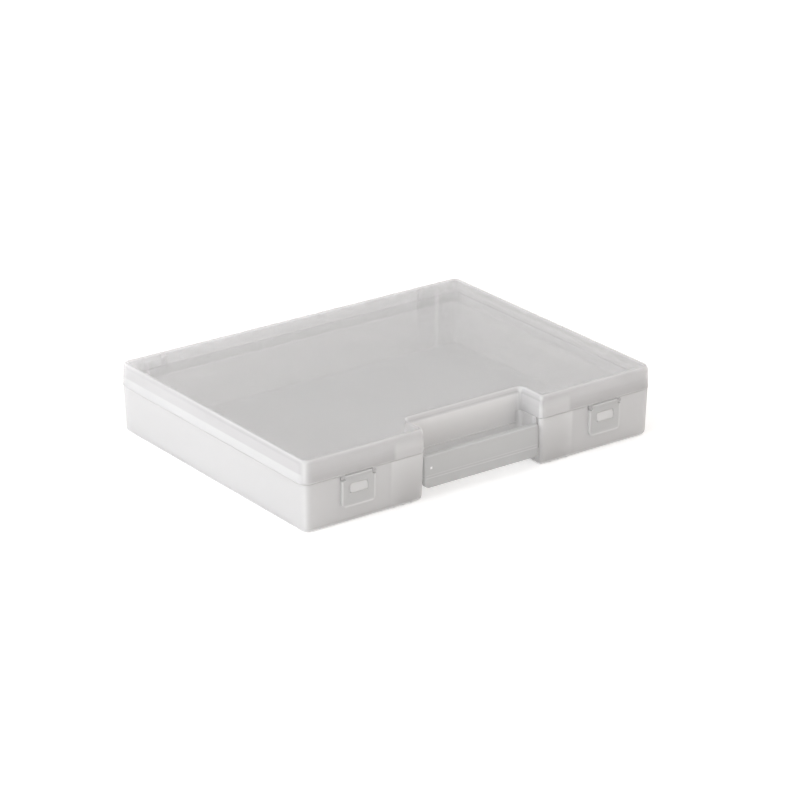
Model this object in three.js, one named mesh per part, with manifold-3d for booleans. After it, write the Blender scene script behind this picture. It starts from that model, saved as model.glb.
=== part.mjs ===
// Slim carry case for A4 papers, moulded in cloudy polypropylene.
// A deep base and a shallow lid meet at a stepped rim, swing on two rear hinge stations and
// are held shut by two snap latches. A bar handle fills a notch in the front.
// Millimetres, +Z up, front towards -Y, origin on the floor in the middle of the case.

import * as THREE from "three";
import { mergeVertices } from "three/addons/utils/BufferGeometryUtils.js";
import Module from "manifold-3d";

const wasm = await Module();
wasm.setup();

// Overall shell
const caseWidth = 320;
const caseDepth = 245;
const baseHeight = 38.2;
const lidHeight = 18.5;
const seamGap = 0.3;
const cornerRadius = 8;
const sharpRadius = 0.5;

// Walls and drafts: an inset is measured inwards from the lid's lower edge
const lidWall = 1.8;
const lidTop = 2;
const lidDraft = 0.75;
const lidEdgeRadius = 4;
const baseWall = 2.6;
const baseFloor = 2.2;
const baseDraft = 1.45;
const baseEdgeRadius = 4;
const rimStep = 0.3;
const innerEdgeRadius = 1.6;

// Upstanding lip of the base, inside the lid's rim
const lipHeight = 7.3;
const lipWall = 1.4;
const lipGap = 0.3;
const lipChamfer = 0.6;

// Notch in the front, through base and lid
const notchWidth = 105;
const notchDepth = 25;
const notchMouthRadius = 4.5;
const notchInnerRadius = 3.5;
const apronDrop = 9.8;
const apronGap = 0.35;

// Carry handle: a ribbed bar with a rounded face, and a wing at each end
const handleLift = 8;
const handleTopGap = 4.2;
const handleSetBack = 1.2;
const handleEndGap = 0.4;
const handleSkin = 2;
const handleFlange = 1.8;
const handleLowerRadius = 5;
const handleUpperRadius = 2;
const handleEdgeRadius = 1.8;
const wingReach = 26;
const wingThickness = 1.8;
const wingTopGap = 1.2;
const railHeight = 6.2;
const railWall = 2.6;
const wingRadius = 2;
const wingGap = 0.4;

// Pockets in the base that hold the wings
const pocketWall = 1.6;
const pocketRise = 1.8;
const seatRibs = 2;
const seatRibWall = 1.6;
const nibWidth = 6;
const nibReach = 1.1;

// Snap latches
const latchSetIn = 47;
const latchWidth = 30;
const latchLength = 24.6;
const latchCornerRadius = 4.5;
const latchWall = 1.6;
const latchGap = 0.4;
const latchLip = 0.9;
const latchLipHeight = 2.4;
const latchBarrelRadius = 1.6;
const latchPinRadius = 0.75;
const latchBoreGap = 0.25;
const latchSeamGap = 0.5;
const earWidth = 2.8;
const earGap = 0.4;
const earRoot = 2;

// Catch on the base, inside the latch window
const catchWidth = 15.2;
const catchHeight = 7;
const catchDrop = 10.4;
const catchRadius = 1.5;
const catchRamp = 0.8;
const windowGap = 0.4;

// Hinge stations in the rear wall
const hingeSetIn = 30.5;
const hingeOverhang = 1.8;
const barrelRadius = 2.6;
const barrelGap = 0.5;
const hingePinRadius = 1.1;
const hingeBoreGap = 0.25;
const lidKnuckleWidth = 6.4;
const baseKnuckleWidth = 3.8;
const knuckleGap = 0.4;
const channelSideGap = 0.6;
const gussetDrop = 8;
const lidChannelHeight = 13.5;

// Facets and overrun
const cornerSegments = 8;
const edgeSegments = 5;
const roundSegments = 28;
const bevelSegments = 5;
const weldShare = 1e-7;
const overrun = 2;
const bond = 0.6;

const quarterTurn = Math.PI / 2;
const halfTurn = Math.PI;

// Levels and planes worked out from the sizes above
const lidBottom = baseHeight + seamGap;
const caseHeight = lidBottom + lidHeight;
const frontPlane = -caseDepth / 2;
const rearPlane = caseDepth / 2;
const notchPlane = frontPlane + notchDepth;

const baseInset = (z) => rimStep + (baseDraft * (baseHeight - z)) / baseHeight;
const lidInset = (z) => (lidDraft * (z - lidBottom)) / lidHeight;

// Cloudy polypropylene, for the mouldings and for the pins
const plastic = (colour) => new THREE.MeshStandardMaterial({ color: colour, roughness: 0.45, metalness: 0 });

// A closed geometry becomes a solid, and a solid becomes a geometry again
function toSolid(geometry) {
  const bare = geometry.clone();
  bare.deleteAttribute("normal");
  bare.deleteAttribute("uv");
  const merged = mergeVertices(bare, weldShare * caseWidth);
  const vertProperties = new Float32Array(merged.attributes.position.array);
  const triVerts = new Uint32Array(merged.index.array);
  return new wasm.Manifold(new wasm.Mesh({ numProp: 3, vertProperties, triVerts }));
}

function toGeometry(solid) {
  const mesh = solid.getMesh();
  const geometry = new THREE.BufferGeometry();
  geometry.setAttribute("position", new THREE.BufferAttribute(new Float32Array(mesh.vertProperties), 3));
  geometry.setIndex(new THREE.BufferAttribute(new Uint32Array(mesh.triVerts), 1));
  geometry.computeVertexNormals();
  return geometry;
}

const join = (solids) => solids.reduce((whole, next) => whole.add(next));
const cut = (solid, cutters) => cutters.reduce((rest, next) => rest.subtract(next), solid);

// A box between two corners
function block(low, high) {
  const size = new THREE.Vector3().subVectors(high, low);
  const centre = new THREE.Vector3().addVectors(low, high).multiplyScalar(0.5);
  return toSolid(new THREE.BoxGeometry(size.x, size.y, size.z).translate(centre.x, centre.y, centre.z));
}

const at = (x, y, z) => new THREE.Vector3(x, y, z);

// The same solid on the other side of the middle plane
const mirrored = (solid) => solid.mirror([1, 0, 0]);
const bothSides = (solid) => solid.add(mirrored(solid));

// A closed loop of points whose corners are rounded, each with the same number of points
function roundedLoop(corners, segments) {
  const loop = [];
  corners.forEach((corner, index) => {
    const before = corners[(index + corners.length - 1) % corners.length];
    const after = corners[(index + 1) % corners.length];
    const here = new THREE.Vector2(corner.x, corner.y);
    const toBefore = new THREE.Vector2(before.x, before.y).sub(here).normalize();
    const toAfter = new THREE.Vector2(after.x, after.y).sub(here).normalize();
    const halfAngle = Math.acos(toBefore.dot(toAfter)) / 2;
    const centre = here.clone()
      .addScaledVector(toBefore.clone().add(toAfter).normalize(), corner.radius / Math.sin(halfAngle));
    const reach = corner.radius / Math.tan(halfAngle);
    const first = here.clone().addScaledVector(toBefore, reach).sub(centre);
    const last = here.clone().addScaledVector(toAfter, reach).sub(centre);
    const start = Math.atan2(first.y, first.x);
    let sweep = Math.atan2(last.y, last.x) - start;
    if (sweep > halfTurn) sweep -= 2 * halfTurn;
    if (sweep < -halfTurn) sweep += 2 * halfTurn;
    for (let step = 0; step <= segments; step += 1) {
      const angle = start + (sweep * step) / segments;
      const point = new THREE.Vector2(Math.cos(angle), Math.sin(angle));
      loop.push(point.multiplyScalar(corner.radius).add(centre));
    }
  });
  return loop;
}

// The plan of the case, drawn in by an inset that deepens the notch as it shrinks the rest
function casePlan(inset) {
  const side = caseWidth / 2 - inset;
  const front = frontPlane + inset;
  const rear = rearPlane - inset;
  const cheek = notchWidth / 2 + inset;
  const back = notchPlane + inset;
  const outer = Math.max(sharpRadius, cornerRadius - inset);
  const mouth = Math.max(sharpRadius, notchMouthRadius - inset);
  const inner = notchInnerRadius + inset;
  const corners = [
    { x: -side, y: front, radius: outer },
    { x: -cheek, y: front, radius: mouth },
    { x: -cheek, y: back, radius: inner },
    { x: cheek, y: back, radius: inner },
    { x: cheek, y: front, radius: mouth },
    { x: side, y: front, radius: outer },
    { x: side, y: rear, radius: outer },
    { x: -side, y: rear, radius: outer },
  ];
  return roundedLoop(corners, cornerSegments);
}

// A solid lofted through plans of the case, one for each level
function loft(levels) {
  const plans = levels.map((level) => casePlan(level.inset));
  const count = plans[0].length;
  const points = [];
  plans.forEach((plan, row) => plan.forEach((point) => points.push(point.x, point.y, levels[row].z)));
  const faces = [];
  for (let row = 0; row + 1 < plans.length; row += 1) {
    for (let step = 0; step < count; step += 1) {
      const here = row * count + step;
      const next = row * count + ((step + 1) % count);
      faces.push(here, next, next + count, here, next + count, here + count);
    }
  }
  const lowest = THREE.ShapeUtils.triangulateShape(plans[0], []);
  lowest.forEach(([a, b, c]) => faces.push(a, c, b));
  const shift = (plans.length - 1) * count;
  const highest = THREE.ShapeUtils.triangulateShape(plans[plans.length - 1], []);
  highest.forEach(([a, b, c]) => faces.push(a + shift, b + shift, c + shift));
  const geometry = new THREE.BufferGeometry();
  geometry.setAttribute("position", new THREE.Float32BufferAttribute(points, 3));
  geometry.setIndex(faces);
  return toSolid(geometry);
}

// Levels of a quarter-round edge between a wall and a flat face at the given height
function edgeLevels(face, radius, direction, wallInset) {
  const levels = [];
  for (let step = 0; step <= edgeSegments; step += 1) {
    const angle = (quarterTurn * step) / edgeSegments;
    const z = face - direction * radius * (1 - Math.sin(angle));
    levels.push({ z, inset: wallInset(z) + radius * (1 - Math.cos(angle)) });
  }
  return levels.sort((a, b) => a.z - b.z);
}

// A prism along X from an outline drawn in Y and Z
function prismAlongX(outline, from, to) {
  const shape = new THREE.Shape(outline.map(([y, z]) => new THREE.Vector2(y, z)));
  const geometry = new THREE.ExtrudeGeometry(shape, { depth: to - from, bevelEnabled: false });
  const turn = new THREE.Matrix4().makeBasis(at(0, 1, 0), at(0, 0, 1), at(1, 0, 0));
  return toSolid(geometry.applyMatrix4(turn).translate(from, 0, 0));
}

// A plate along Y from an outline drawn in X and Z, with its edges rounded if asked
function plateAlongY(corners, near, far, edge = 0) {
  const shape = new THREE.Shape(roundedLoop(corners, cornerSegments));
  const options = { depth: far - near - 2 * edge, bevelEnabled: edge > 0 };
  if (edge > 0) {
    Object.assign(options, { bevelThickness: edge, bevelSize: edge, bevelOffset: -edge, bevelSegments });
  }
  const geometry = new THREE.ExtrudeGeometry(shape, options);
  const turn = new THREE.Matrix4().makeBasis(at(1, 0, 0), at(0, 0, 1), at(0, -1, 0));
  return toSolid(geometry.applyMatrix4(turn).translate(0, far - edge, 0));
}

// A round bar along X
function barAlongX(radius, from, to, y, z) {
  const geometry = new THREE.CylinderGeometry(radius, radius, to - from, roundSegments);
  return toSolid(geometry.rotateZ(quarterTurn).translate((from + to) / 2, y, z));
}

// Hinge station values
const hingeX = caseWidth / 2 - hingeSetIn;
const hingeY = rearPlane + hingeOverhang;
const hingeZ = (baseHeight + lidBottom) / 2;
const stationHalf = lidKnuckleWidth / 2 + knuckleGap + baseKnuckleWidth;
const channelHalf = stationHalf + channelSideGap;
const lidChannelPlane = hingeY - barrelRadius - barrelGap;
const baseChannelPlane = lidChannelPlane - rimStep;
const lidChannelTop = lidBottom + lidChannelHeight;

// A block at the right-hand hinge station, from a plane towards the rear
function stationBlock(half, plane, low, high) {
  return block(at(hingeX - half, plane, low), at(hingeX + half, hingeY + barrelRadius + overrun, high));
}

// Latch values: the pivot hangs below the lid's rim
const latchX = caseWidth / 2 - latchSetIn;
const latchPivotZ = lidBottom - latchSeamGap - latchBarrelRadius;
const latchPivotY = frontPlane + lidWall - latchBarrelRadius;
const latchTop = latchPivotZ + latchBarrelRadius;
const latchBottom = latchTop - latchLength;
const latchBoreRadius = latchPinRadius + latchBoreGap;
const latchBarrelHalf = latchWidth / 2 - earWidth - earGap;
const groovePlane = frontPlane + lidWall + lipGap;
const catchTop = latchTop - catchDrop + catchHeight / 2;
const catchBottom = catchTop - catchHeight;

// Handle values
const wingBottom = handleLift + railHeight;
const wingTop = baseHeight - wingTopGap;
const wingFront = frontPlane + baseInset(wingBottom) + baseWall + seamGap;
const wingRear = wingFront + wingThickness;
const handleFront = frontPlane + rimStep + handleSetBack;
const handleHalf = notchWidth / 2 + rimStep - handleEndGap;
const handleTop = baseHeight - handleTopGap;
const cheekInner = notchWidth / 2 + rimStep + baseWall + lipWall;
const wingEnd = handleHalf + wingReach;
const pocketEnd = wingEnd + wingGap;
const pocketPlane = wingRear + wingGap;
const pocketTop = wingTop + wingGap + pocketRise;

// Pocket walls, seat ribs and snap nib of the right-hand handle pocket
function handlePocket() {
  const innerX = notchWidth / 2 + rimStep + baseWall - bond;
  const outerX = pocketEnd + pocketWall;
  const wallFront = frontPlane + rimStep + baseWall / 2;
  const floor = baseFloor / 2;
  const rearWall = block(at(innerX, pocketPlane, floor), at(outerX, pocketPlane + pocketWall, pocketTop));
  const endTop = baseHeight - seamGap;
  const endWall = block(at(pocketEnd, wallFront, floor), at(outerX, pocketPlane + bond, endTop));
  const parts = [rearWall, endWall];
  for (let index = 1; index <= seatRibs; index += 1) {
    const ribX = cheekInner + ((pocketEnd - cheekInner) * index) / (seatRibs + 1);
    const low = at(ribX - seatRibWall / 2, wallFront, floor);
    parts.push(block(low, at(ribX + seatRibWall / 2, pocketPlane + bond, wingBottom - seamGap)));
  }
  const nibX = (cheekInner + pocketEnd) / 2;
  const nibZ = wingTop + seamGap;
  const nib = [
    [pocketPlane - nibReach, nibZ],
    [pocketPlane + bond, nibZ],
    [pocketPlane + bond, pocketTop],
    [pocketPlane, pocketTop],
  ];
  parts.push(prismAlongX(nib, nibX - nibWidth / 2, nibX + nibWidth / 2));
  return join(parts);
}

// Slot through the notch cheek for the right-hand wing, open at the top
function wingSlot() {
  const low = at(notchWidth / 2, wingFront - wingGap, wingBottom - wingGap);
  const high = at(cheekInner + wingGap, wingRear + wingGap, baseHeight + lipHeight + overrun);
  return block(low, high);
}

// One knuckle of a hinge, with a gusset from its barrel to the channel wall
function knuckle(from, to, wallPlane, side, root) {
  const gusset = [
    [wallPlane - bond, root],
    [hingeY, hingeZ],
    [hingeY, hingeZ + side * barrelRadius],
    [wallPlane - bond, hingeZ + side * gussetDrop],
  ];
  return barAlongX(barrelRadius, from, to, hingeY, hingeZ).add(prismAlongX(gusset, from, to));
}

const hingeBoreRadius = hingePinRadius + hingeBoreGap;
const hingeBore = barAlongX(hingeBoreRadius, hingeX - channelHalf, hingeX + channelHalf, hingeY, hingeZ);

// Catch boss of the right-hand latch, ramped above so that the latch rides over it
function catchBoss() {
  const nose = frontPlane + baseInset(catchTop) - latchGap - latchWall;
  const root = frontPlane + baseInset(catchBottom) + baseWall / 2;
  const corners = [
    { x: latchX - catchWidth / 2, y: catchBottom, radius: catchRadius },
    { x: latchX + catchWidth / 2, y: catchBottom, radius: catchRadius },
    { x: latchX + catchWidth / 2, y: catchTop, radius: catchRadius },
    { x: latchX - catchWidth / 2, y: catchTop, radius: catchRadius },
  ];
  const ramp = [
    [nose - overrun, catchBottom + catchHeight / 2],
    [nose, catchBottom + catchHeight / 2],
    [nose + catchRamp, catchTop + bond],
    [nose - overrun, catchTop + bond],
  ];
  const rampCut = prismAlongX(ramp, latchX - catchWidth, latchX + catchWidth);
  return plateAlongY(corners, nose, root).subtract(rampCut);
}

// Base shell: drafted tray, stepped rim with a lip, pockets, catches and hinge knuckles
function buildBase() {
  const tray = loft([
    ...edgeLevels(0, baseEdgeRadius, -1, baseInset),
    { z: baseHeight, inset: baseInset(baseHeight) },
  ]);
  const lipInset = (z) => lidInset(z) + lidWall + lipGap;
  const lipTop = baseHeight + lipHeight;
  const lip = loft([
    { z: baseHeight - bond, inset: lipInset(baseHeight) },
    { z: lipTop - lipChamfer, inset: lipInset(lipTop) },
    { z: lipTop, inset: lipInset(lipTop) + lipChamfer },
  ]);
  const innerInset = (z) => baseInset(z) + baseWall;
  const cavity = loft([
    ...edgeLevels(baseFloor, innerEdgeRadius, -1, innerInset),
    { z: baseHeight - lipWall, inset: innerInset(baseHeight - lipWall) },
    { z: baseHeight, inset: lipInset(lipTop) + lipWall },
    { z: lipTop + overrun, inset: lipInset(lipTop) + lipWall },
  ]);

  const lipChannelHalf = channelHalf + lidWall + lipGap;
  const lipChannelPlane = lidChannelPlane - lidWall - lipGap;
  const channel = stationBlock(channelHalf, baseChannelPlane, -overrun, baseHeight);
  const lipChannel = stationBlock(lipChannelHalf, lipChannelPlane, baseHeight, lipTop + overrun);
  const channelWall = stationBlock(channelHalf + baseWall, baseChannelPlane - baseWall, 0, baseHeight);
  const lipHalf = lipChannelHalf + lipWall;
  const lipWallBlock = stationBlock(lipHalf, lipChannelPlane - lipWall, baseHeight - lipWall, lipTop);
  const hollow = cut(cavity, [bothSides(channelWall), bothSides(lipWallBlock)]);

  const shell = cut(tray.add(lip), [hollow, bothSides(channel), bothSides(lipChannel)]);

  const innerEdge = lidKnuckleWidth / 2 + knuckleGap;
  const knuckles = join([
    knuckle(hingeX - stationHalf, hingeX - innerEdge, baseChannelPlane, -1, baseHeight),
    knuckle(hingeX + innerEdge, hingeX + stationHalf, baseChannelPlane, -1, baseHeight),
  ]).subtract(hingeBore);

  const apronHalf = notchWidth / 2 - notchInnerRadius + apronGap;
  const apronSeat = block(
    at(-apronHalf, notchPlane - overrun, lidBottom - apronDrop - apronGap),
    at(apronHalf, notchPlane + lidWall + lipGap, baseHeight),
  );
  const groove = block(
    at(latchX - latchWidth / 2 - earGap, frontPlane - overrun, latchPivotZ - latchBarrelRadius - earGap),
    at(latchX + latchWidth / 2 + earGap, groovePlane, baseHeight),
  );

  return cut(join([shell, bothSides(knuckles), bothSides(handlePocket()), bothSides(catchBoss())]),
    [apronSeat, bothSides(groove), bothSides(wingSlot())]);
}

// Lid shell: drafted cover with an apron behind the handle, latch ears and hinge knuckles
function buildLid() {
  const cover = loft([
    { z: lidBottom, inset: 0 },
    ...edgeLevels(caseHeight, lidEdgeRadius, 1, lidInset),
  ]);
  const innerInset = (z) => lidInset(z) + lidWall;
  const cavity = loft([
    { z: lidBottom - overrun, inset: innerInset(lidBottom) },
    ...edgeLevels(caseHeight - lidTop, innerEdgeRadius, 1, innerInset),
  ]);
  const wallPlane = lidChannelPlane - lidWall;
  const channelWall = stationBlock(channelHalf + lidWall, wallPlane, lidBottom, lidChannelTop + lidWall);
  const channel = stationBlock(channelHalf, lidChannelPlane, lidBottom - overrun, lidChannelTop);
  const shell = cut(cover, [cavity.subtract(bothSides(channelWall)), bothSides(channel)]);

  const knuckleHalf = lidKnuckleWidth / 2;
  const middle = knuckle(hingeX - knuckleHalf, hingeX + knuckleHalf, lidChannelPlane, 1, lidBottom);
  const hinge = middle.subtract(hingeBore);

  const apronHalf = notchWidth / 2 - notchInnerRadius;
  const apronFoot = lidBottom - apronDrop;
  const apronRoot = lidBottom + bond;
  const apron = [
    [notchPlane + lidInset(apronFoot), apronFoot],
    [notchPlane + lidInset(apronFoot) + lidWall, apronFoot],
    [notchPlane + lidInset(apronRoot) + lidWall, apronRoot],
    [notchPlane + lidInset(apronRoot), apronRoot],
  ];

  return join([shell, bothSides(hinge), prismAlongX(apron, -apronHalf, apronHalf), bothSides(latchEars())]);
}

// Two ears under the lid's rim that carry the right-hand latch
function latchEars() {
  const root = lidBottom + earRoot;
  const web = [
    [latchPivotY - latchBarrelRadius, latchPivotZ],
    [latchPivotY + latchBarrelRadius, latchPivotZ],
    [frontPlane + lidWall, lidBottom],
    [frontPlane + lidWall, root],
    [frontPlane + lidInset(root), root],
    [frontPlane, lidBottom],
  ];
  const outer = latchWidth / 2;
  const inner = outer - earWidth;
  const oneEar = (from, to) => {
    const round = barAlongX(latchBarrelRadius, from, to, latchPivotY, latchPivotZ);
    return round.add(prismAlongX(web, from, to));
  };
  const ears = oneEar(latchX - outer, latchX - inner).add(oneEar(latchX + inner, latchX + outer));
  const [from, to] = [latchX - latchWidth, latchX + latchWidth];
  return ears.subtract(barAlongX(latchBoreRadius, from, to, latchPivotY, latchPivotZ));
}

// Latch: barrel, tapered tab with rounded lower corners and a window for the catch
function buildLatch() {
  const faceGap = (z) => frontPlane + baseInset(z) - latchGap;
  const shoulder = latchPivotZ - latchBarrelRadius - latchSeamGap;
  const lipStart = latchBottom + latchLipHeight;
  const section = [
    [faceGap(latchBottom) - latchWall - latchLip, latchBottom],
    [faceGap(latchBottom), latchBottom],
    [faceGap(shoulder), shoulder],
    [latchPivotY, latchPivotZ],
    [latchPivotY - latchBarrelRadius, latchPivotZ],
    [faceGap(lipStart) - latchWall, lipStart],
  ];
  const half = latchWidth / 2;
  const outline = [
    { x: -half, y: latchBottom, radius: latchCornerRadius },
    { x: half, y: latchBottom, radius: latchCornerRadius },
    { x: half, y: shoulder, radius: sharpRadius },
    { x: latchBarrelHalf, y: shoulder, radius: sharpRadius },
    { x: latchBarrelHalf, y: latchTop, radius: sharpRadius },
    { x: -latchBarrelHalf, y: latchTop, radius: sharpRadius },
    { x: -latchBarrelHalf, y: shoulder, radius: sharpRadius },
    { x: -half, y: shoulder, radius: sharpRadius },
  ];
  const windowHalf = catchWidth / 2 + windowGap;
  const windowCorners = [
    { x: -windowHalf, y: catchBottom - windowGap, radius: catchRadius },
    { x: windowHalf, y: catchBottom - windowGap, radius: catchRadius },
    { x: windowHalf, y: catchTop + windowGap, radius: catchRadius },
    { x: -windowHalf, y: catchTop + windowGap, radius: catchRadius },
  ];
  const near = frontPlane - latchWidth;
  const far = frontPlane + latchWidth;
  const tab = prismAlongX(section, -half, half).intersect(plateAlongY(outline, near, far));
  const barrel = barAlongX(latchBarrelRadius, -latchBarrelHalf, latchBarrelHalf, latchPivotY, latchPivotZ);
  const bore = barAlongX(latchBoreRadius, -latchWidth, latchWidth, latchPivotY, latchPivotZ);
  return cut(tab.add(barrel), [plateAlongY(windowCorners, near, far), bore]);
}

// Carry handle: bar with three flanges behind its face, and a wing at each end
function buildHandle() {
  const barCorners = [
    { x: -handleHalf, y: handleLift, radius: handleLowerRadius },
    { x: handleHalf, y: handleLift, radius: handleLowerRadius },
    { x: handleHalf, y: handleTop, radius: handleUpperRadius },
    { x: -handleHalf, y: handleTop, radius: handleUpperRadius },
  ];
  const rounded = plateAlongY(barCorners, handleFront, wingRear + handleEdgeRadius, handleEdgeRadius);
  const behind = block(at(-wingEnd, wingRear, 0), at(wingEnd, wingRear + 2 * handleEdgeRadius, baseHeight));
  const bar = rounded.subtract(behind);
  const hollowHalf = handleHalf - handleFlange;
  const hollowFront = handleFront + handleSkin;
  const railTop = wingBottom + railWall;
  const pocket = (low, high, radius) => {
    const corners = [
      { x: -hollowHalf, y: low, radius },
      { x: hollowHalf, y: low, radius },
      { x: hollowHalf, y: high, radius: sharpRadius },
      { x: -hollowHalf, y: high, radius: sharpRadius },
    ];
    return plateAlongY(corners, hollowFront, wingRear + overrun);
  };
  const lower = pocket(handleLift + handleFlange, wingBottom, handleLowerRadius - handleFlange);
  const upper = pocket(railTop, handleTop - handleFlange, sharpRadius);

  const stepX = cheekInner + wingGap + wingRadius;
  const wingCorners = [
    { x: hollowHalf, y: wingBottom, radius: sharpRadius },
    { x: wingEnd, y: wingBottom, radius: wingRadius },
    { x: wingEnd, y: wingTop, radius: wingRadius },
    { x: stepX, y: wingTop, radius: wingRadius },
    { x: stepX, y: handleTop - handleFlange, radius: sharpRadius },
    { x: hollowHalf, y: handleTop - handleFlange, radius: sharpRadius },
  ];
  const wing = plateAlongY(wingCorners, wingFront, wingRear);
  return cut(bar, [lower, upper]).add(bothSides(wing));
}

// Assembly
const transitCase = new THREE.Group();

function place(name, solid, material, x = 0) {
  const mesh = new THREE.Mesh(toGeometry(solid), material);
  mesh.name = name;
  mesh.position.x = x;
  transitCase.add(mesh);
}

place("base_shell", buildBase(), plastic(0xdcdddd));
place("lid_shell", buildLid(), plastic(0xe0e1e2));
place("carry_handle", buildHandle(), plastic(0xd8d6d4));

const latch = buildLatch();
const latchPinHalf = latchWidth / 2 - bond;
const latchPin = barAlongX(latchPinRadius, -latchPinHalf, latchPinHalf, latchPivotY, latchPivotZ);
const hingePin = barAlongX(hingePinRadius, -stationHalf, stationHalf, hingeY, hingeZ);
for (const [side, sign] of [["left", -1], ["right", 1]]) {
  place(`latch_${side}`, latch, plastic(0xdad9d7), sign * latchX);
  place(`latch_pin_${side}`, latchPin, plastic(0xdcdcda), sign * latchX);
  place(`hinge_pin_${side}`, hingePin, plastic(0xdcdcda), sign * hingeX);
}

// The hinge barrels stand further out at the rear than the latches do at the front
const frontReach = frontPlane + baseInset(latchBottom) - latchGap - latchWall - latchLip;
const rearReach = hingeY + barrelRadius;
transitCase.position.y = -(Math.min(frontReach, latchPivotY - latchBarrelRadius) + rearReach) / 2;

export default transitCase;
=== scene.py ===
# Slim carry case for A4 papers, moulded in cloudy polypropylene, closed at rest.
# Metres, +Z up, front towards -Y, origin on the floor under the middle of the case.

import math

import bmesh
import bpy
import mathutils
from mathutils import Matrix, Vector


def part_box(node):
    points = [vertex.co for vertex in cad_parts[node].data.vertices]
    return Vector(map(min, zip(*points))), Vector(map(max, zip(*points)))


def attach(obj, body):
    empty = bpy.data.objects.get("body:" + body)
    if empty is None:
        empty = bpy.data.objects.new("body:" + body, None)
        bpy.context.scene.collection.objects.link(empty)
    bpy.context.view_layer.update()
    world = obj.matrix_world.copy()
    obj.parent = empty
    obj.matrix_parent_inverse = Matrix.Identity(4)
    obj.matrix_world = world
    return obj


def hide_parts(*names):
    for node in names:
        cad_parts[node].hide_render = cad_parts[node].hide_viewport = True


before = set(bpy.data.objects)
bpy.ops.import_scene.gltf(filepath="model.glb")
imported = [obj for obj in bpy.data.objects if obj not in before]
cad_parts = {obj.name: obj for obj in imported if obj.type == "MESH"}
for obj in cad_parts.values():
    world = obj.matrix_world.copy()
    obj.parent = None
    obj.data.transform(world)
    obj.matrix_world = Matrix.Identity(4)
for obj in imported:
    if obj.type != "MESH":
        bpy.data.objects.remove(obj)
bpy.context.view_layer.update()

# Base shell: a deep tray with a stepped rim, catches, wing pockets and hinge knuckles.
# Injection moulded in one shot from cloudy polypropylene, satin all over. The wall lets
# some light straight through and spreads the rest, and its edges look whiter than its faces,
# partly from thicker plastic and partly as a painted highlight.


class Signal:
    """One node output. Arithmetic on signals adds Math nodes."""

    def __init__(self, recipe, socket):
        self.recipe = recipe
        self.socket = socket

    def math(self, operation, first, second):
        return self.recipe.add("ShaderNodeMath", {"operation": operation}, {0: first, 1: second})

    def __add__(self, other):
        return self.math("ADD", self, other)

    def __radd__(self, other):
        return self.math("ADD", other, self)

    def __sub__(self, other):
        return self.math("SUBTRACT", self, other)

    def __rsub__(self, other):
        return self.math("SUBTRACT", other, self)

    def __mul__(self, other):
        return self.math("MULTIPLY", self, other)

    def __rmul__(self, other):
        return self.math("MULTIPLY", other, self)

    def __truediv__(self, other):
        return self.math("DIVIDE", self, other)

    def __abs__(self):
        return self.math("ABSOLUTE", self, 0)

    def rise(self, start, end):
        """0 before start, 1 past end, and a slope between."""
        return self.recipe.add("ShaderNodeMapRange", {"clamp": True}, {0: self, 1: start, 2: end, 3: 0, 4: 1})

    def fall(self, start, end):
        """1 before start, 0 past end, and a slope between."""
        return 1 - self.rise(start, end)

    def larger(self, other):
        """The larger of this and the other value."""
        return self.math("MAXIMUM", self, other)


class Recipe:
    """A node tree that is filled one node at a time."""

    def __init__(self, tree):
        self.tree = tree
        self.tree.nodes.clear()

    def add(self, kind, settings=None, inputs=None, out=0):
        made = self.tree.nodes.new(kind)
        for key, value in (settings or {}).items():
            setattr(made, key, value)
        for key, value in (inputs or {}).items():
            if isinstance(value, Signal):
                self.tree.links.new(value.socket, made.inputs[key])
            else:
                made.inputs[key].default_value = value
        return Signal(self, made.outputs[out]) if made.outputs else made


def new_finish(name):
    material = bpy.data.materials.new(name)
    material.use_nodes = True
    return material, Recipe(material.node_tree)


# The white of thick plastic, also used for painted highlights and painted light
thick_and_highlight_white = (0.9, 0.9, 0.9, 1)
no_tint = (1, 1, 1, 1)
darker_cloud = 0.97
rough_spread = 0.06
clear_spread = 0.04
thin_clear = 0.8
window_share = 0.66
glow_lost = 0.6
clear_lost = 0.7


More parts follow.
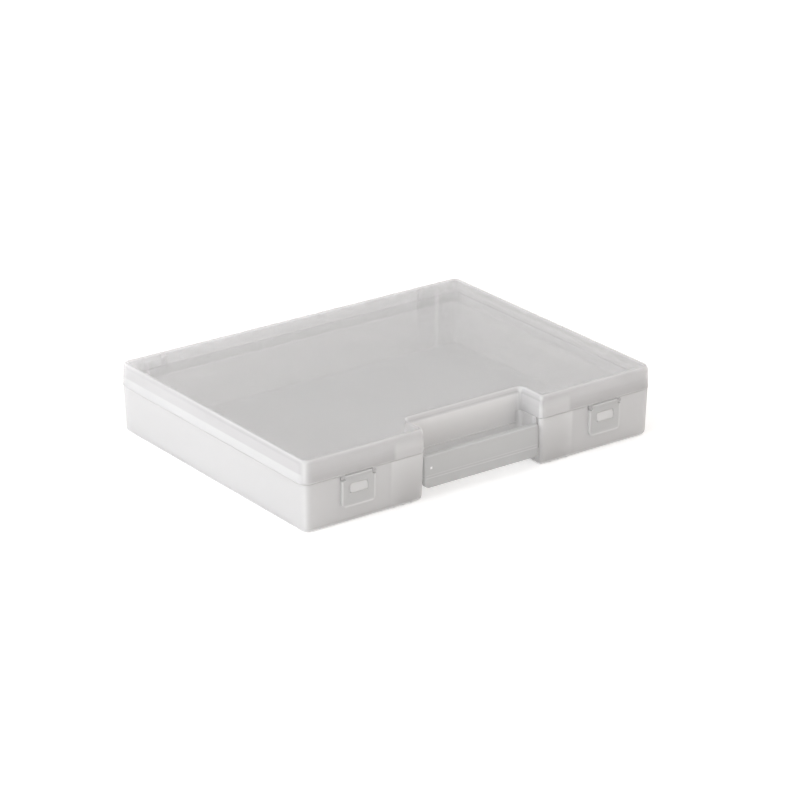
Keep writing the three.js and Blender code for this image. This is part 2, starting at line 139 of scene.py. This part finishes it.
def cloudy_polypropylene(name, tint, clear, wall_clear, glow, rough, rounds, thick_and_lit=None, thin=None):
    """Cloudy moulded plastic. clear and wall_clear are the shares of a level face and of a wall
    that show what is behind, glow is the share of the rest that passes light softly, and rounds
    is how white the rounded edges are, partly for thicker plastic and partly as a painted
    highlight. The masks take x, y and z. The whitening mask is 1 where the plastic is white from
    its thickness, and also where painted light whitens it; thin is 1 where it shows more of what
    is behind."""
    material, recipe = new_finish(name)
    place = recipe.add("ShaderNodeTexCoord", out="Object")
    x, y, z = (recipe.add("ShaderNodeSeparateXYZ", None, {0: place}, out=axis) for axis in "XYZ")
    noise = {"noise_dimensions": "3D"}
    cloud = recipe.add("ShaderNodeTexNoise", noise, {"Vector": place, "Scale": 22, "Detail": 3, "Roughness": 0.5})
    grain = recipe.add("ShaderNodeTexNoise", noise, {"Vector": place, "Scale": 900, "Detail": 2, "Roughness": 0.6})

    # Edges turn white where the round of the bevel leaves the face, and so do curved faces:
    # partly thicker plastic seen edge-on, partly a painted highlight along edges and in creases
    soft = recipe.add("ShaderNodeBevel", {"samples": 6}, {"Radius": 0.0014})
    face = recipe.add("ShaderNodeNewGeometry", out="Normal")
    alike = recipe.add("ShaderNodeVectorMath", {"operation": "DOT_PRODUCT"}, {0: soft, 1: face}, out="Value")
    sharp = rounds * (1 - alike).rise(0, 0.25)
    facing = recipe.add("ShaderNodeVectorMath", {"operation": "ABSOLUTE"}, {0: face})
    nx, ny, nz = (recipe.add("ShaderNodeSeparateXYZ", None, {0: facing}, out=axis) for axis in "XYZ")
    curved = rounds * (1 - nx.larger(ny).larger(nz)).rise(0.012, 0.25)
    edge = sharp.larger(curved)
    white = edge if thick_and_lit is None else edge.larger(thick_and_lit(x, y, z))

    # The milky part, with a faint grain on its skin
    mix = {"data_type": "RGBA"}
    dark_tint = [c * darker_cloud for c in tint] + [1]
    tone = recipe.add("ShaderNodeMix", mix, {"Factor": cloud, 6: dark_tint, 7: [*tint, 1]}, out=2)
    # The colour turns white on edges and in masked zones: partly thick plastic, partly painted light
    shade = recipe.add("ShaderNodeMix", mix, {"Factor": white, 6: tone, 7: thick_and_highlight_white}, out=2)
    skin = recipe.add("ShaderNodeBump", None,
                      {"Strength": 0.025, "Distance": 0.0002, "Height": grain, "Normal": soft})
    body = recipe.add("ShaderNodeBsdfPrincipled", None,
                      {"Base Color": shade, "Roughness": rough + rough_spread * (cloud - 0.5),
                       "IOR": 1.49, "Normal": skin})
    through = recipe.add("ShaderNodeBsdfTranslucent", None, {"Color": [*tint, 1], "Normal": skin})
    milky = recipe.add("ShaderNodeMixShader", None, {"Fac": glow * (1 - glow_lost * white), 1: body, 2: through})

    # The open part, which shows what is behind, partly through a haze
    haze = recipe.add("ShaderNodeBsdfGlass", None,
                      {"Color": no_tint, "Roughness": 0.25, "IOR": 1.15, "Normal": soft})
    window = recipe.add("ShaderNodeBsdfTransparent", None, {"Color": no_tint})
    open_part = recipe.add("ShaderNodeMixShader", None, {"Fac": window_share, 1: haze, 2: window})
    share = wall_clear + (clear - wall_clear) * nz + clear_spread * (cloud - 0.5)
    if thin is not None:
        share = share + (thin_clear - share) * thin(x, y, z)
    openness = share * (1 - clear_lost * white)
    whole = recipe.add("ShaderNodeMixShader", None, {"Fac": openness, 1: milky, 2: open_part})
    recipe.add("ShaderNodeOutputMaterial", None, {"Surface": whole})
    return material


# Where zones start and end, in metres from the middle or the floor
lip_foot = (0.0381, 0.0384)
lip_side = (0.151, 0.153)
floor_top = (0.0022, 0.0032)
catch_face = (0.12375, 0.12415)
pocket_face = (0.113, 0.114)
pocket_span = (0.0535, 0.0822)
notch_wall = (0.0945, 0.1005)
notch_side = (0.0545, 0.0555)
rear_edge = (0.105, 0.11)
base_station = (0.1352, 0.1385)


def slab(value, low, high, soft=0.0005):
    """1 between two values and 0 outside them, with a soft step at each."""
    return value.rise(low - soft, low) * value.fall(high, high + soft)


def base_thick_and_lit(x, y, z):
    """Whiter zones. From thicker plastic: the double lip above the rim, the catches and the
    outer walls of the hinge stations. Painted light: the floor, lightened against its shade, the
    walls in front of the handle's wings, more so higher up, and the wall behind the handle."""
    across, ahead = abs(x), 0 - y
    lip = (0.15 + 0.3 * across.rise(*lip_side)) * z.rise(*lip_foot) * y.fall(*rear_edge)
    # Painted light: the floor is whitened where it lies in the case's shade
    painted_floor_light = 0.78 * z.fall(*floor_top)
    catch = 0.4 * ahead.rise(*catch_face)
    # Painted light: the walls in front of the handle's wings are whitened, more so higher up
    painted_wing_light = (0.1 + 0.33 * z.rise(0.003, 0.034)) * ahead.rise(*pocket_face)
    wing = slab(across, *pocket_span, 0.002) * painted_wing_light
    # Painted light: the wall behind the handle is whitened against the shade of the notch
    notch = 0.6 * slab(ahead, *notch_wall) * across.fall(*notch_side)
    station = 0.7 * slab(across, *base_station) * y.rise(0.1125, 0.1135)
    return lip.larger(catch).larger(wing + notch + station + painted_floor_light)


def base_thin(x, y, z):
    """The wall behind the handle and the lip at the back, moulded thinner than the rest."""
    behind = 0.6 * slab(0 - y, *notch_wall) * abs(x).fall(*notch_side)
    return behind + 0.5 * z.rise(*lip_foot) * y.rise(0.11, 0.115)


merge_distance = 2e-6
crease_angle = math.radians(28)


def moulding(node, name, finish, body):
    """A smooth-skinned copy of a moulding's solid, which stands for it."""
    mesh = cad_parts[node].data.copy()
    mesh.name = name
    work = bmesh.new()
    work.from_mesh(mesh)
    bmesh.ops.remove_doubles(work, verts=work.verts, dist=merge_distance)
    bmesh.ops.dissolve_degenerate(work, edges=work.edges, dist=1e-6)
    for face in work.faces:
        face.smooth = True
        face.material_index = 0
    for edge in work.edges:
        edge.smooth = edge.is_manifold and edge.calc_face_angle(0) < crease_angle
    work.to_mesh(mesh)
    work.free()
    if mesh.attributes.get("custom_normal"):
        mesh.attributes.remove(mesh.attributes["custom_normal"])
    mesh.materials.clear()
    mesh.materials.append(finish)
    piece = bpy.data.objects.new(name, mesh)
    bpy.context.scene.collection.objects.link(piece)
    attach(piece, body)
    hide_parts(node)
    return piece


base_plastic = cloudy_polypropylene("cloudy_base_plastic", (0.73, 0.723, 0.723), clear=0.5, wall_clear=0.26,
                                    glow=0.5, rough=0.42, rounds=0.3, thick_and_lit=base_thick_and_lit, thin=base_thin)
moulding("base_shell", "base_moulding", base_plastic, "base")

# Lid shell: a shallow cover with an apron behind the handle, two pairs of latch ears and a
# knuckle at each hinge station. The same plastic as the base, moulded thinner, so that the
# top shows the inside of the case. It hangs on the hinge pins.

apron_line = (0.0298, 0.0303)
seam = (0.038, 0.0393)
lap_top = (0.0452, 0.0462)
prow_span = (0.0535, 0.0785)
lid_station = (0.1195, 0.1235)
notch_inside = (0.0508, 0.0518)
cheek_span = (0.052, 0.0546)
side_face = (0.1545, 0.1565)


def lid_thick_and_lit(x, y, z):
    """Whiter zones. Painted highlight: the foot of the apron, as if its edge glowed, and the seam
    along the lid's lower rim. Painted light: the back and side walls of the notch and the front
    walls beside it, lightened against their shade, and all of the lid's side walls. From thicker
    plastic: the side walls' lower part and the band over the base's lip, and the inner walls of
    the hinge stations."""
    across, ahead = abs(x), 0 - y
    # Painted highlight: the apron's foot is whitened as if its edge glowed
    foot = z.fall(*apron_line)
    # Painted highlight: a white line along the seam above the rim
    rim = 0.35 * slab(z, *seam, 0.0003) * across.rise(0.0555, 0.0565)
    # Painted light: the front walls beside the notch are whitened
    prow = 0.34 * slab(across, *prow_span, 0.003) * ahead.rise(0.1205, 0.1215) * z.fall(0.046, 0.052)
    station = 0.7 * slab(across, *lid_station) * y.rise(0.1165, 0.1175) * z.fall(0.054, 0.055)
    # Painted light: the notch's back wall is whitened against its shade
    notch = 0.7 * ahead.rise(0.0945, 0.0955) * across.fall(*notch_inside) * z.fall(0.051, 0.053)
    # Painted light over each whole side wall, plus more on the lower part that laps the base's lip
    side = (0.07 + 0.14 * z.fall(*lap_top)) * across.rise(*side_face) * z.fall(0.052, 0.054)
    # Painted light: the notch's side walls are whitened
    cheek = 0.22 * slab(across, *cheek_span) * ahead.rise(0.097, 0.099) * z.fall(0.051, 0.053)
    band = 0.04 * z.fall(*lap_top) * y.fall(*rear_edge) + side
    return foot.larger(rim).larger(notch.larger(band) + station + prow + cheek)


def lid_thin(x, y, z):
    """The walls around the notch and the apron, moulded thinner than the rest."""
    return 0.7 * (0 - y).rise(0.0945, 0.0965) * abs(x).fall(0.0545, 0.0565) * z.fall(0.052, 0.054)


# Blender's denoiser hides what is under the top if clear is much below 0.8
# Its tint is darker than the base's though both are the same plastic: painted shade that tones the lid down
lid_plastic = cloudy_polypropylene("cloudy_lid_plastic", (0.67, 0.66, 0.663), clear=0.8, wall_clear=0.52,
                                   glow=0.42, rough=0.4, rounds=0.38, thick_and_lit=lid_thick_and_lit, thin=lid_thin)
moulding("lid_shell", "lid_moulding", lid_plastic, "lid")

# Carry handle: a ribbed bar with a wing at each end, in whiter and thicker polypropylene.
# The wings are snapped down into pockets in the base. The ribs behind the face leave two
# faint sink lines on it, and a small white dot sits near its left end.

rib_low = 0.0162
rib_high = 0.0183
white_dot_x = -0.0468
white_dot_z = 0.024
line_edge = (0.0001, 0.0007)


def handle_thick(x, y, z):
    """The sink lines over the middle rib, and the small white dot."""
    line_low = 0.3 * abs(z - rib_low).fall(*line_edge)
    line_high = 0.2 * abs(z - rib_high).fall(*line_edge)
    dot = abs(x - white_dot_x).larger(abs(z - white_dot_z)).fall(0.0005, 0.0012)
    return dot.larger(line_low + line_high)


def handle_thin(x, y, z):
    """The wings at the ends, which are thinner than the bar."""
    return abs(x).rise(0.0525, 0.0545)


handle_plastic = cloudy_polypropylene("cloudy_handle_plastic", (0.66, 0.66, 0.66), clear=0.4, wall_clear=0.4,
                                      glow=0.4, rough=0.42, rounds=0.25, thick_and_lit=handle_thick, thin=handle_thin)
moulding("carry_handle", "handle_moulding", handle_plastic, "base")

# Snap latches: two small tabs with a window that closes over a catch on the base. The same
# plastic as the shells, each moulded on its own and hung between two ears of the lid.

latch_middle = 0.113
border_side = (0.0132, 0.0137)
border_foot = (0.0146, 0.0151)


def latch_lit_border(x, y, z):
    """A whiter border down both sides and along the foot: painted light that turns the shade of the gaps around
    the tab into a bright outline.
    """
    return 0.4 * abs(abs(x) - latch_middle).rise(*border_side).larger(z.fall(*border_foot))


latch_plastic = cloudy_polypropylene("cloudy_latch_plastic", (0.74, 0.74, 0.74), clear=0.45, wall_clear=0.45,
                                     glow=0.45, rough=0.4, rounds=0.5, thick_and_lit=latch_lit_border)
moulding("latch_left", "latch_moulding_left", latch_plastic, "left_latch")
moulding("latch_right", "latch_moulding_right", latch_plastic, "right_latch")

# Pins: short rods of the same cloudy plastic with broken ends, cut from drawn rod and
# pushed in from the side, one pair through the hinge knuckles and one through the latch ears.

pin_chamfer = 0.0003
ring_points = 28


def pin_rod_tree():
    """A pair of rods along X, each as far from the middle as the other."""
    tree = bpy.data.node_groups.new("pin_pair", "GeometryNodeTree")
    for title in ("Distance", "Length", "Radius", "Chamfer"):
        tree.interface.new_socket(title, in_out="INPUT", socket_type="NodeSocketFloat")
    tree.interface.new_socket("Centre", in_out="INPUT", socket_type="NodeSocketVector")
    tree.interface.new_socket("Plastic", in_out="INPUT", socket_type="NodeSocketMaterial")
    tree.interface.new_socket("Pins", in_out="OUTPUT", socket_type="NodeSocketGeometry")
    recipe = Recipe(tree)

    def given(title):
        return recipe.add("NodeGroupInput", out=title)

    # A line of four points gives each rod its two ends and the inner edges of its chamfers
    index = recipe.add("GeometryNodeInputIndex")
    side = 2 * index.math("GREATER_THAN", index, 1.5) - 1
    inner = index.math("GREATER_THAN", index, 0.5) * index.math("LESS_THAN", index, 2.5)
    along = side * (given("Length") * 0.5 - given("Chamfer") * inner)
    spine = recipe.add("GeometryNodeCurvePrimitiveLine", None, {"End": (1, 0, 0)})
    spine = recipe.add("GeometryNodeResampleCurve", None, {"Curve": spine, "Count": 4})
    at = recipe.add("ShaderNodeCombineXYZ", None, {"X": along})
    spine = recipe.add("GeometryNodeSetPosition", None, {"Geometry": spine, "Position": at})
    width = 1 - given("Chamfer") / given("Radius") * (1 - inner)
    spine = recipe.add("GeometryNodeSetCurveRadius", None, {"Curve": spine, "Radius": width})
    ring = recipe.add("GeometryNodeCurvePrimitiveCircle", None,
                      {"Resolution": ring_points, "Radius": given("Radius")})
    rod = recipe.add("GeometryNodeCurveToMesh", None,
                     {"Curve": spine, "Profile Curve": ring, "Fill Caps": True})
    reach = recipe.add("ShaderNodeCombineXYZ", None, {"X": given("Distance")})
    left = recipe.add("ShaderNodeVectorMath", {"operation": "SUBTRACT"}, {0: given("Centre"), 1: reach})
    right = recipe.add("ShaderNodeVectorMath", {"operation": "ADD"}, {0: given("Centre"), 1: reach})
    row = recipe.add("GeometryNodeMeshLine", {"mode": "END_POINTS"},
                     {"Count": 2, "Start Location": left, "Offset": right})
    pair = recipe.add("GeometryNodeInstanceOnPoints", None, {"Points": row, "Instance": rod})
    solid = recipe.add("GeometryNodeRealizeInstances", None, {0: pair})
    painted = recipe.add("GeometryNodeSetMaterial", None, {"Geometry": solid, "Material": given("Plastic")})
    recipe.add("NodeGroupOutput", None, {0: painted})
    return tree


def pin_pair(name, nodes, body, sizes):
    """The two pins of one body, made from the pin tree and turned into one plain mesh."""
    holder = bpy.data.objects.new(name, bpy.data.meshes.new(name + "_holder"))
    bpy.context.scene.collection.objects.link(holder)
    stack = holder.modifiers.new("pins", "NODES")
    stack.node_group = pin_tree
    for item in pin_tree.interface.items_tree:
        if item.in_out == "INPUT":
            stack[item.identifier] = sizes[item.name]
    bpy.context.view_layer.update()
    evaluated = holder.evaluated_get(bpy.context.evaluated_depsgraph_get())
    mesh = bpy.data.meshes.new_from_object(evaluated)
    holder.modifiers.remove(stack)
    mesh.name = name
    work = bmesh.new()
    work.from_mesh(mesh)
    bmesh.ops.remove_doubles(work, verts=work.verts, dist=1e-6)
    bmesh.ops.recalc_face_normals(work, faces=work.faces)
    for face in work.faces:
        face.smooth = True
    for edge in work.edges:
        edge.smooth = edge.calc_face_angle(0) < crease_angle
    work.to_mesh(mesh)
    work.free()
    holder.data = mesh
    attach(holder, body)
    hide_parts(*nodes)
    return holder


pin_tree = pin_rod_tree()
pin_plastic = cloudy_polypropylene("cloudy_pin_plastic", (0.75, 0.75, 0.75), clear=0.4, wall_clear=0.4,
                                   glow=0.45, rough=0.4, rounds=0.5)
for body, node_pair in (("base", ("hinge_pin_left", "hinge_pin_right")),
                        ("lid", ("latch_pin_left", "latch_pin_right"))):
    low, high = (mathutils.Vector(corner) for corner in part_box(node_pair[1]))
    middle = (low + high) / 2
    pin_pair(node_pair[0].replace("_left", "_pair"), node_pair, body, {
        "Distance": middle.x,
        "Length": high.x - low.x,
        "Radius": (high.z - low.z) / 2,
        "Chamfer": pin_chamfer,
        "Centre": (0, middle.y, middle.z),
        "Plastic": pin_plastic,
    })

# Floor: a wide sheet of matt white card. It keeps the case's soft shadow, and a little light
# of its own, seen by the camera alone, lets it run into the white background.

floor_mesh = bpy.data.meshes.new("white_card")
work = bmesh.new()
bmesh.ops.create_grid(work, x_segments=8, y_segments=8, size=6)
work.to_mesh(floor_mesh)
work.free()
floor = bpy.data.objects.new("white_card", floor_mesh)
bpy.context.scene.collection.objects.link(floor)
card_white, recipe = new_finish("card_white")
matt = recipe.add("ShaderNodeBsdfDiffuse", None, {"Color": (0.9, 0.9, 0.9, 1)})
camera_sees = recipe.add("ShaderNodeLightPath", out="Is Camera Ray")
lift = recipe.add("ShaderNodeEmission", None, {"Strength": 0.28 * camera_sees})
both = recipe.add("ShaderNodeAddShader", None, {0: matt, 1: lift})
recipe.add("ShaderNodeOutputMaterial", None, {"Surface": both})
floor_mesh.materials.append(card_white)

# Studio: a white surround that is dimmer and warmer low down on the right, a large softbox on
# the left and a fainter one in front. The surround shows at full white to the camera and
# through the plastic.

cool_wall = (0.98, 0.99, 1, 1)
warm_wall = (0.57, 0.495, 0.425, 1)
full_white = (1, 1, 1, 1)
down_right = (0.8, 0.1, -0.6)
surround = bpy.data.worlds.new("white_surround")
bpy.context.scene.world = surround
surround.use_nodes = True
recipe = Recipe(surround.node_tree)


def ray(kind):
    return recipe.add("ShaderNodeLightPath", out=kind)


seen = (ray("Is Camera Ray") + ray("Is Glossy Ray") + ray("Is Transmission Ray")).rise(0, 1)
first = 1 - ray("Diffuse Depth").rise(0, 1)
direction = recipe.add("ShaderNodeTexCoord", out="Generated")
tilt = recipe.add("ShaderNodeVectorMath", {"operation": "DOT_PRODUCT"}, {0: direction, 1: down_right}, out="Value")
walls = recipe.add("ShaderNodeMix", {"data_type": "RGBA"},
                   {"Factor": tilt.rise(-0.8, 0.9), 6: cool_wall, 7: warm_wall}, out=2)
shown = recipe.add("ShaderNodeMix", {"data_type": "RGBA"},
                   {"Factor": seen * first, 6: walls, 7: full_white}, out=2)
sky = recipe.add("ShaderNodeBackground", None, {"Color": shown, "Strength": 1.0})
recipe.add("ShaderNodeOutputWorld", None, {"Surface": sky})


def softbox(name, place, size, watts, colour):
    """A square lamp that looks at the middle of the case."""
    data = bpy.data.lights.new(name, "AREA")
    data.size = size
    data.energy = watts
    data.color = colour
    lamp = bpy.data.objects.new(name, data)
    bpy.context.scene.collection.objects.link(lamp)
    lamp.location = place
    lamp.rotation_euler = (-mathutils.Vector(place)).to_track_quat("-Z", "Y").to_euler()


softbox("left_softbox", (-1.7, 0.2, 0.7), 1.2, 32.5, (0.97, 0.985, 1))
softbox("front_softbox", (0.9, -2.3, 0.6), 1.6, 14, (1, 0.945, 0.885))

# Camera: a long lens in front of the left corner, above the case. Its place and turn come
# from a fit of the case's box to the outline in the photo.

camera_place = (-1.40624, -1.93875, 0.98926)
camera_pitch = 21.9076
camera_yaw = -36.2401
view = bpy.data.cameras.new("studio_camera")
view.lens = 153.5
view.sensor_width = 36
view.clip_end = 50
camera = bpy.data.objects.new("studio_camera", view)
bpy.context.scene.collection.objects.link(camera)
camera.location = camera_place
camera.rotation_euler = (math.radians(90 - camera_pitch), 0, math.radians(camera_yaw))
bpy.context.scene.camera = camera
bpy.context.scene.view_settings.view_transform = "Standard"
